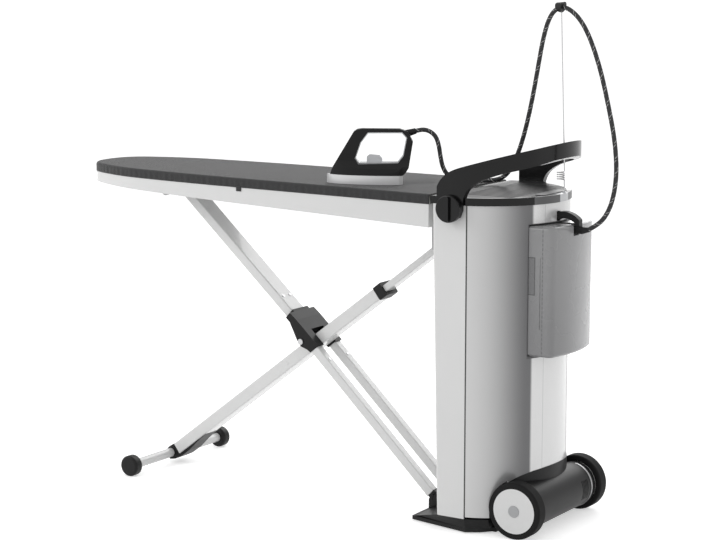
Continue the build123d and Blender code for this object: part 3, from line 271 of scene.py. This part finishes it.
white = whitePaint("whiteEnamel")
legPaint = whitePaint("legEnamel", 1.0, 0.22)
silver = casingPaintedLight()
black = blackPlastic("blackGrain", 0.006)
gloss = blackPlastic("blackGloss", 0.004, 0.2, 1200.0, 0.1, 0.03)
ironBlack = blackPlastic("ironBlack", 0.004, 0.3, 1200.0, 0.0, 0.03)
rubber = blackPlastic("tyreRubber", 0.004, 0.75, 900.0, 0.0, 0.2)
greyRim = greyPlastic("greyRim", 0.085, 0.086, 0.088)
pocketGrey = greyPlastic("pocketGrey", 0.09, 0.09, 0.092, 0.4)
steel = steelFinish("steel")
brass = steelFinish("valveBrass", 0.5, 0.3)
brass.set(color=rgb(0.52, 0.40, 0.18))
framePaint = greyPlastic("framePaint", 0.56, 0.56, 0.56, 0.4)
solePlate = greyPlastic("solePlate", 0.78, 0.78, 0.78, 0.22)
solePlate.set(metal=0.35)
pipe = greyPlastic("pipe", 0.62, 0.62, 0.60, 0.5)
circuit = greyPlastic("circuit", 0.04, 0.13, 0.06, 0.5)
lining = greyPlastic("gripLining", 0.66, 0.67, 0.68, 0.2)
hubCap = greyPlastic("hubCap", 0.42, 0.425, 0.43, 0.3)
tank = tankToneAndPaintedLight()

finishes = {
    "front_column": white, "rear_casing": silver, "rear_panel": silver, "tank_pocket": pocketGrey,
    "wheel_housing": black, "housing_ring": steel, "wheel_axle": steel, "tower_base": black,
    "top_rim": gloss, "rim_rear_panel": greyRim, "wire_socket": lining, "top_plate": black,
    "hoop_handle": gloss, "hose_arm": black, "hose_boot": black, "support_wire": steel,
    "hose_clip": black, "inner_chassis": framePaint, "boiler": steel, "heating_element": steel,
    "steam_valve": brass, "pump": black, "control_board": circuit, "inner_pipes": pipe,
    "power_inlet": black, "board_carriage": framePaint, "board_skirt": white, "board_frame": framePaint,
    "leg_a_lower_tubes": legPaint, "leg_a_upper_tube": legPaint, "leg_a_tip_pin": steel,
    "leg_knuckle": black, "leg_pivot_pin": steel, "leg_a_foot_hinge": black, "leg_a_screws": steel,
    "leg_b_outer_tube": legPaint, "leg_b_collar": black, "foot_bracket": black, "foot_bar": legPaint,
    "foot_caps": black, "leg_b_inner_tube": legPaint, "tyre_near": rubber, "hub_near": white,
    "hub_cap_near": hubCap, "tyre_far": rubber, "hub_far": white, "hub_cap_far": hubCap,
    "lock_knob_near": gloss, "lock_knob_far": gloss, "water_tank": tank, "tank_cap": lining,
    "iron_soleplate": solePlate, "iron_body": ironBlack, "iron_grip_lining": lining, "iron_grommet": black,
    "iron_steam_key": lining,
}
for nodeName, finish in finishes.items():
    mesh = nodes[nodeName].data
    mesh.materials.clear()
    mesh.materials.append(finish.mat)
print("finishes set")


# Camera, solved from the photograph.
camera = {"place": (2.5314, -4.5744, 1.4573), "yaw": 32.733, "pitch": -8.917, "lens": 104.0}
cam = bpy.data.cameras.new("camera")
cam.lens = camera["lens"]
cam.sensor_width = 36.0
cam.sensor_fit = "HORIZONTAL"
cam.clip_end = 250
camObj = bpy.data.objects.new("camera", cam)
camObj.location = camera["place"]
camObj.rotation_euler = (math.radians(90 + camera["pitch"]), 0, math.radians(camera["yaw"]))
bpy.context.scene.collection.objects.link(camObj)
bpy.context.scene.camera = camObj


# Hose. The points are those of the CAD route, in metres.
hose = {"radius": 0.00575, "stations": 260, "sides": 20, "threadProud": 0.0002, "threadPitch": 0.0125,
        "threadHalf": 0.0008, "threadTurn": 1.15, "threadReach": 0.0022, "threadClimb": 0.42}
hoseUp = [(-0.2218, -0.0150, 0.9850), (-0.2089, -0.0074, 0.9890), (-0.1957, 0.0005, 0.9868),
          (-0.1838, 0.0076, 0.9788), (-0.1754, 0.0126, 0.9661), (-0.1701, 0.0158, 0.9430),
          (-0.1668, 0.0178, 0.9160), (-0.1620, 0.0205, 0.8910), (-0.1515, 0.0275, 0.8700),
          (-0.1310, 0.0410, 0.8592), (-0.1020, 0.0570, 0.8571), (-0.0700, 0.0730, 0.8566),
          (-0.0380, 0.0860, 0.8595), (-0.0130, 0.0880, 0.8720), (0.0080, 0.0840, 0.8980),
          (0.0260, 0.0780, 0.9300), (0.0420, 0.0723, 0.9660), (0.0570, 0.0665, 1.0080),
          (0.0720, 0.0610, 1.0600), (0.0860, 0.0560, 1.1170), (0.0980, 0.0516, 1.1720),
          (0.1099, 0.0476, 1.2243), (0.1234, 0.0427, 1.2638), (0.1364, 0.0380, 1.2858),
          (0.1504, 0.0329, 1.2992), (0.1640, 0.0280, 1.3060)]
hoseDown = [(0.1790, 0.0226, 1.3074), (0.1933, 0.0219, 1.3036), (0.2105, 0.0212, 1.2924),
            (0.2270, 0.0204, 1.2765), (0.2430, 0.0194, 1.2540), (0.2580, 0.0182, 1.2260),
            (0.2720, 0.0168, 1.1940), (0.2870, 0.0150, 1.1540), (0.3020, 0.0120, 1.1060),
            (0.3160, 0.0088, 1.0560), (0.3290, 0.0052, 1.0080), (0.3380, 0.0017, 0.9610),
            (0.3430, -0.0016, 0.9140), (0.3410, -0.0045, 0.8680), (0.3330, -0.0071, 0.8300),
            (0.3200, -0.0093, 0.8010), (0.3010, -0.0113, 0.7790), (0.2760, -0.0130, 0.7645)]


def splineCurve(name, points, radius):
    curve = bpy.data.curves.new(name, "CURVE")
    curve.dimensions = "3D"
    s = curve.splines.new("NURBS")
    s.points.add(len(points) - 1)
    for p, co in zip(s.points, points):
        p.co = (*co, 1.0)
    s.order_u = 3
    s.use_endpoint_u = True
    s.resolution_u = 12
    curve.bevel_depth = radius
    curve.bevel_resolution = 4
    obj = bpy.data.objects.new(name, curve)
    bpy.context.scene.collection.objects.link(obj)
    return obj


# Points along the route's smooth spline, as Blender works it out.
def readLine(points):
    probe = splineCurve("probe", points, 0.0)
    bpy.context.view_layer.update()
    m = bpy.data.meshes.new_from_object(probe)
    line = np.array([v.co[:] for v in m.vertices])
    bpy.data.meshes.remove(m)
    c = probe.data
    bpy.data.objects.remove(probe)
    bpy.data.curves.remove(c)
    return line


# Evenly spaced points along a line, with its length.
def resample(line, count):
    step = np.linalg.norm(np.diff(line, axis=0), axis=1)
    run = np.concatenate([[0.0], np.cumsum(step)])
    at = np.linspace(0, run[-1], count)
    return np.stack([np.interp(at, run, line[:, i]) for i in range(3)], axis=1), run[-1]


# Quads over a grid of points: rows along, columns across.
def gridMesh(name, grid, closeAcross=False):
    rows, cols, _ = grid.shape
    at = np.arange(rows * cols).reshape(rows, cols)
    if closeAcross:
        at = np.concatenate([at, at[:, :1]], axis=1)
    faces = np.stack([at[:-1, :-1], at[1:, :-1], at[1:, 1:], at[:-1, 1:]], axis=-1).reshape(-1, 4)
    mesh = bpy.data.meshes.new(name)
    mesh.from_pydata(grid.reshape(-1, 3).tolist(), [], faces.tolist())
    mesh.polygons.foreach_set("use_smooth", np.ones(len(mesh.polygons), bool))
    mesh.update()
    obj = bpy.data.objects.new(name, mesh)
    bpy.context.scene.collection.objects.link(obj)
    return obj


# Tangent, side and up directions along a line: each side is the last one less its part along the tangent.
def along(line):
    t = np.gradient(line, axis=0)
    t /= np.linalg.norm(t, axis=1)[:, None]
    side = np.zeros_like(t)
    s = np.cross(t[0], (0.0, 0.0, 1.0))
    if np.linalg.norm(s) < 1e-3:
        s = np.cross(t[0], (0.0, 1.0, 0.0))
    for i in range(len(t)):
        s = s - t[i] * np.dot(s, t[i])
        s /= np.linalg.norm(s)
        side[i] = s
    return t, side, np.cross(t, side)


# Short light threads of the hose's woven cover. Each is a ribbon of five stations: the station moves it along
# the line and round the tube by even steps, and its two edges lie just before and after it along the line.
def threadMesh(name, line, total):
    t, side, up = along(line)
    count = int(total / hose["threadPitch"])
    last = len(line) - 1
    thread = np.repeat(np.arange(count), 2)[:, None]
    start = np.tile((0.0, math.pi), count)[:, None]
    station = (np.arange(5) - 2)[None, :]
    at = (thread + 0.5) / count * last + station * hose["threadReach"] / total * last
    at = np.clip(at, 0.0, last)
    a = at.astype(int)
    b = np.minimum(last, a + 1)
    f = (at - a)[..., None]
    p, s, u = (q[a] * (1 - f) + q[b] * f for q in (line, side, up))
    angle = (start + thread * hose["threadTurn"] + station * hose["threadClimb"])[..., None]
    middle = p + (s * np.cos(angle) + u * np.sin(angle)) * (hose["radius"] + hose["threadProud"])
    edges = np.array((-hose["threadHalf"], hose["threadHalf"]))[:, None]
    verts = middle[..., None, :] + t[a][..., None, :] * edges
    first = np.arange(2 * count)[:, None] * 10 + np.arange(4)[None, :] * 2
    faces = first[..., None] + np.array((0, 1, 3, 2))
    mesh = bpy.data.meshes.new(name)
    mesh.from_pydata(verts.reshape(-1, 3).tolist(), [], faces.reshape(-1, 4).tolist())
    mesh.update()
    obj = bpy.data.objects.new(name, mesh)
    bpy.context.scene.collection.objects.link(obj)
    return obj


# Woven black cover: a fine crossed weave in the bump.
def hoseCloth():
    m = Mat("hoseCloth")
    fine = m.noise(1600.0, 3.0)
    weave = (m.x * 1900.0 + m.z * 2300.0).sin() * (m.y * 2100.0 - m.z * 2300.0).sin()
    m.set(color=m.mix(fine, rgb(0.010, 0.010, 0.011), rgb(0.024, 0.024, 0.026)), rough=fine * 0.1 + 0.62)
    m.bump(weave + fine, 0.35, 0.0003)
    return m


hoseSkin = hoseCloth()
fleck = Mat("hoseThread")
fleckNoise = fleck.noise(700.0)
fleck.set(color=fleck.mix(fleckNoise, rgb(0.38, 0.38, 0.38), rgb(0.62, 0.62, 0.61)), rough=fleckNoise * 0.2 + 0.6)


# A circle carried along a line.
def tubeMesh(name, line, radius, sides):
    t, side, up = along(line)
    ang = np.linspace(0, 2 * math.pi, sides, endpoint=False)
    ring = side[:, None, :] * np.cos(ang)[None, :, None] + up[:, None, :] * np.sin(ang)[None, :, None]
    return gridMesh(name, line[:, None, :] + radius * ring, closeAcross=True)


def hosePiece(name, points, node):
    line, total = resample(readLine(points), hose["stations"])
    obj = tubeMesh(name, line, hose["radius"], hose["sides"])
    obj.data.materials.append(hoseSkin.mat)
    marks = threadMesh(name + "Threads", line, total)
    marks.data.materials.append(fleck.mat)
    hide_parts(node)
    return obj, marks, line, total


frontHose, frontMarks, frontLine, frontLen = hosePiece("frontHose", hoseUp, "hose_front")
rearHose, rearMarks, rearLine, rearLen = hosePiece("rearHose", hoseDown, "hose_rear")
for piece in (frontHose, frontMarks):
    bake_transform(piece)
for piece in (rearHose, rearMarks):
    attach(piece, "tower")
print("hoses", round(frontLen, 4), round(rearLen, 4))


# Board cover: crowned cloth sheet with a turned edge and gathers at its sides.
board = {"heelX": -0.072, "noseX": -1.258, "tilt": 0.35, "top": 0.8487, "thick": 0.0253, "gather": 0.0009,
         "turns": [(0.2369, 8.18), (0.1019, 54.48), (0.5433, 21.56), (4.180, 4.68)],
         "edgeCount": 900, "waves": (0.019, 0.027, 0.041, 0.075), "hem": 0.0004, "shoulder": 0.0175,
         "round": 0.0078, "cloth": 0.0011, "endDrop": 0.0245}


# Points round the board's outline, local x from the heel, from the near heel round the nose: arcs of the given
# radii and turns from the nose, then a straight run to the heel, mirrored, and spaced evenly.
def boardOutline(count):
    x = board["noseX"] - board["heelX"]
    y = 0.0
    way = 90.0
    far = [(x, y)]
    for radius, turn in board["turns"]:
        cx = x + radius * math.sin(math.radians(way))
        cy = y - radius * math.cos(math.radians(way))
        n = max(4, int(turn / 1.5))
        for i in range(1, n + 1):
            a = math.radians(way - turn * i / n)
            far.append((cx - radius * math.sin(a), cy + radius * math.cos(a)))
        way -= turn
        x, y = far[-1]
    far.append((0.0, y - x * math.tan(math.radians(way))))
    far = np.array(far)
    near = far[::-1].copy()
    near[:, 1] *= -1
    loop = np.concatenate([near[:-1], far])
    step = np.linalg.norm(np.diff(loop, axis=0), axis=1)
    run = np.concatenate([[0.0], np.cumsum(step)])
    at = np.linspace(0, run[-1], count)
    return np.stack([np.interp(at, run, loop[:, i]) for i in range(2)], axis=1), at


# Points of the tilted board in the frame, from local x, y and the height over the skirt's top.
def boardPoint(local, height):
    c = math.cos(math.radians(board["tilt"]))
    s = math.sin(math.radians(board["tilt"]))
    x = board["heelX"] + c * local[..., 0] + s * height
    z = board["top"] - board["thick"] - s * local[..., 0] + c * height
    return np.stack([x, local[..., 1] + 0 * height, z], axis=-1)


# Rows of the cover's side and edge: each row is the outline moved inwards by its inset, and by the gathers where
# it lies on the side, at its own height.
def coverSheet():
    edge, run = boardOutline(board["edgeCount"])
    # outward normal of the outline
    tang = np.gradient(edge, axis=0)
    tang /= np.linalg.norm(tang, axis=1)[:, None]
    out = np.stack([tang[:, 1] * -1, tang[:, 0]], axis=1)
    mid = np.array([-0.6, 0.0])
    flip = np.sign(np.sum(out * (edge - mid), axis=1))
    out *= flip[:, None]
    rows = []
    # side of the cover: from its hem up to the rounded top edge
    profile = [(0.0, h) for h in (board["hem"], 0.003, 0.008, 0.013, board["shoulder"])]
    for k in range(1, 7):
        a = math.radians(15 * k)
        profile.append((board["round"] * (1 - math.cos(a)), board["shoulder"] + board["round"] * math.sin(a)))
    for inset in (0.012, 0.02, 0.035, 0.06, 0.10, 0.15):
        profile.append((inset, board["thick"]))
    rng = np.random.default_rng(5)
    phase = rng.uniform(0, 2 * math.pi, 6)
    fold = sum(np.sin(run * (2 * math.pi / w) + p) / (1 + 0.5 * i)
               for i, (w, p) in enumerate(zip(board["waves"], phase)))
    fold = fold / np.abs(fold).max()
    for inset, h in profile:
        weight = max(0.0, 1 - abs(h - 0.009) / 0.017) if inset < 0.008 else 0.0
        move = -inset - (board["gather"] * weight) * (1 - fold)
        spots = edge + out * move[:, None]
        # keep the inner rows from folding over at the nose and the heel
        limit = np.abs(edge[:, 1]) * 0.985
        spots[:, 1] = np.where(inset > 0.03, np.clip(spots[:, 1], -limit, limit), spots[:, 1])
        spots[:, 0] = np.clip(spots[:, 0], board["noseX"] - board["heelX"] + inset * 0.98, 0.0)
        height = np.full(len(edge), h)
        if inset > 0.011:
            height = height + 0.0002 * fold * max(0.0, 1 - inset / 0.04)
        rows.append(boardPoint(spots, height))
    return np.array(rows)


# Black woven cloth: a fine plain weave with slow changes of tone.
def boardCloth():
    m = Mat("boardCloth")
    warp = (m.x * 4400.0).sin()
    weft = (m.y * 4400.0).sin()
    weave = warp * weft
    broad = m.noise(14.0, 4.0)
    fine = m.noise(420.0, 4.0)
    m.set(color=m.mix(broad, rgb(0.008, 0.008, 0.0085), rgb(0.015, 0.015, 0.016)), rough=fine * 0.1 + 0.70,
          sheen=0.22)
    m.bump(weave * 0.4 + fine * 1.0 + broad * 1.6, 0.5, 0.0006)
    return m


clothMat = boardCloth()


# The side's rows, and a top of straight lines across with a slight ripple, joined and given their thickness.
def buildCover():
    side = coverSheet()
    half = side.shape[1] // 2
    # the side and its rounded edge
    skirtObj = gridMesh("coverEdge", side[:11].transpose(1, 0, 2))
    # the top: straight lines across from the near edge to the far edge, one for each station
    near = side[10][:half]
    far = side[10][::-1][:half]
    steps = np.sin(np.linspace(-math.pi / 2, math.pi / 2, 61)) * 0.5 + 0.5
    top = near[:, None, :] * (1 - steps)[None, :, None] + far[:, None, :] * steps[None, :, None]
    ripple = np.sin(top[..., 0] * 37 + 1.3 * np.sin(top[..., 1] * 23)) * np.sin(top[..., 1] * 31 + 0.7)
    inner = np.minimum(1.0, np.minimum(steps, 1 - steps)[None, :] * 14)
    top[..., 2] += -0.00022 * (1 - ripple) * inner
    topObj = gridMesh("coverTop", top)
    for o in (skirtObj, topObj):
        o.data.materials.append(clothMat.mat)
    bpy.ops.object.select_all(action="DESELECT")
    skirtObj.select_set(True)
    topObj.select_set(True)
    bpy.context.view_layer.objects.active = topObj
    bpy.ops.object.join()
    cover = bpy.context.view_layer.objects.active
    bm = bmesh.new()
    bm.from_mesh(cover.data)
    bmesh.ops.remove_doubles(bm, verts=bm.verts, dist=0.00005)
    # the heel end of the cover, closed down to the hem
    ends = [e for e in bm.edges if e.is_boundary and abs(e.verts[0].co.y) < 0.205
            and min(e.verts[0].co.x, e.verts[1].co.x) > -0.0735 and e.calc_length() > 0]
    res = bmesh.ops.extrude_edge_only(bm, edges=[e for e in ends if min(v.co.z for v in e.verts) > 0.8485])
    low = [v for v in res["geom"] if isinstance(v, bmesh.types.BMVert)]
    for v in low:
        v.co.z -= board["endDrop"]
    bmesh.ops.recalc_face_normals(bm, faces=bm.faces)
    bm.to_mesh(cover.data)
    bm.free()
    thick = cover.modifiers.new("thick", "SOLIDIFY")
    thick.thickness = board["cloth"]
    thick.offset = -1.0
    bpy.ops.object.modifier_apply(modifier="thick")
    cover.data.polygons.foreach_set("use_smooth", np.ones(len(cover.data.polygons), bool))
    cover.name = "boardCoverCloth"
    return cover


cover = buildCover()
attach(cover, "board")


tab = {"x": -0.592, "half": 0.008, "top": 0.004, "foot": -0.0096, "thick": 0.0012}


# Short cloth strap hanging from the cover's hem on the near side: a small grid along the outline and down.
def strapPiece():
    edge = boardOutline(board["edgeCount"])[0]
    i = int(np.argmin(np.abs(edge[:len(edge) // 2, 0] - tab["x"])))
    t = edge[i + 1] - edge[i]
    t /= np.linalg.norm(t)
    u = np.linspace(-tab["half"], tab["half"], 9)
    v = np.linspace(tab["top"], tab["foot"], 9)
    grid = np.zeros((len(v), len(u), 3))
    for a, h in enumerate(v):
        spots = edge[i] + t[None, :] * u[:, None]
        spots[:, 1] += 0.0004 - 0.0003 * np.cos(u * 300) * (h < 0)
        grid[a] = boardPoint(spots, np.full(len(u), h))
    obj = gridMesh("coverStrap", grid)
    obj.data.materials.append(clothMat.mat)
    thick = obj.modifiers.new("thick", "SOLIDIFY")
    thick.thickness = tab["thick"]
    thick.offset = 0.0
    return obj


strap = strapPiece()
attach(strap, "board")
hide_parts("board_cover")


padLook = {"edgeCount": 360, "light": rgb(0.66, 0.66, 0.63), "deep": rgb(0.52, 0.52, 0.49),
           "profile": [(0.0022, 0.0004), (0.0022, 0.012), (0.0022, 0.0165), (0.0045, 0.0205), (0.0095, 0.0228)]}


# Felt pad just inside the cloth: the board's outline drawn in by each row's inset, closed above and below.
def padPiece():
    edge = boardOutline(padLook["edgeCount"])[0]
    half = len(edge) // 2
    rows = []
    for inset, h in padLook["profile"]:
        spots = np.stack([np.clip(edge[:, 0] * (1 - inset / 1.2) - inset * 0.2, None, -inset),
                          edge[:, 1] * (1 - inset / 0.2)], axis=1)
        rows.append(boardPoint(spots, np.full(len(edge), h)))
    side = np.array(rows)
    parts = [gridMesh("padSide", side.transpose(1, 0, 2))]
    for k, name in ((4, "padTop"), (0, "padUnder")):
        near = side[k][:half]
        far = side[k][::-1][:half]
        steps = np.linspace(0, 1, 21)
        parts.append(gridMesh(name, near[:, None, :] * (1 - steps)[None, :, None]
                              + far[:, None, :] * steps[None, :, None]))
    bpy.ops.object.select_all(action="DESELECT")
    for p in parts:
        p.select_set(True)
    bpy.context.view_layer.objects.active = parts[0]
    bpy.ops.object.join()
    obj = bpy.context.view_layer.objects.active
    bm = bmesh.new()
    bm.from_mesh(obj.data)
    bmesh.ops.remove_doubles(bm, verts=bm.verts, dist=0.00005)
    bmesh.ops.holes_fill(bm, edges=[e for e in bm.edges if e.is_boundary], sides=0)
    bmesh.ops.recalc_face_normals(bm, faces=bm.faces)
    bm.to_mesh(obj.data)
    bm.free()
    obj.name = "boardPadFelt"
    m = Mat("padFelt")
    fluff = m.noise(260.0, 5.0, 0.7)
    m.set(color=m.mix(fluff, padLook["deep"], padLook["light"]), rough=fluff * 0.1 + 0.8)
    m.bump(fluff, 0.6, 0.0008)
    obj.data.materials.append(m.mat)
    return obj


pad = padPiece()
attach(pad, "board")
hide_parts("board_pad")
print("cover and pad built")


# Floor and lights. The object's light is plain; only what the lens sees beside it is brought up to white.
stageLook = {"reach": 90.0, "floor": rgb(0.92, 0.92, 0.92), "floorGlow": 0.5, "sky": 0.62,
             "lights": [("key", (-3.2, -3.6, 3.0), 2.6, 74.0), ("back", (-0.6, 3.8, 2.6), 3.0, 62.0),
                        ("rear", (4.2, 0.4, 1.7), 2.0, 14.0)]}


# 1 for rays of the lens and of mirror-like and clear surfaces, else 0.
def seenRay(tree):
    path = tree.nodes.new("ShaderNodeLightPath")
    kinds = [Sock(tree, path.outputs[k]) for k in ("Is Camera Ray", "Is Glossy Ray", "Is Transmission Ray")]
    return kinds[0].math("MAXIMUM", kinds[1]).math("MAXIMUM", kinds[2])


def studio():
    floorMesh = bpy.data.meshes.new("floor")
    s = stageLook["reach"]
    floorMesh.from_pydata([(-s, -s, 0), (s, -s, 0), (s, s, 0), (-s, s, 0)], [], [(0, 1, 2, 3)])
    floor = bpy.data.objects.new("floor", floorMesh)
    bpy.context.scene.collection.objects.link(floor)
    m = bpy.data.materials.new("floor")
    m.use_nodes = True
    b = m.node_tree.nodes["Principled BSDF"]
    b.inputs["Base Color"].default_value = stageLook["floor"]
    b.inputs["Roughness"].default_value = 0.85
    b.inputs["Emission Color"].default_value = rgb(1.0, 1.0, 1.0)
    wire(m.node_tree, b.inputs["Emission Strength"], seenRay(m.node_tree) * stageLook["floorGlow"])
    floorMesh.materials.append(m)
    for name, place, size, power in stageLook["lights"]:
        light = bpy.data.lights.new(name, "AREA")
        light.shape = "SQUARE"
        light.size = size
        light.energy = power
        o = bpy.data.objects.new(name, light)
        o.location = place
        o.rotation_euler = (Vector((-0.3, 0, 0.6)) - Vector(place)).to_track_quat("-Z", "Y").to_euler()
        bpy.context.scene.collection.objects.link(o)
    world = bpy.data.worlds.new("world")
    world.use_nodes = True
    sky = world.node_tree.nodes["Background"]
    sky.inputs["Color"].default_value = rgb(1.0, 1.0, 1.0)
    wire(world.node_tree, sky.inputs["Strength"],
         seenRay(world.node_tree) * (1.0 - stageLook["sky"]) + stageLook["sky"])
    bpy.context.scene.world = world
    bpy.context.scene.view_settings.view_transform = "Standard"


studio()
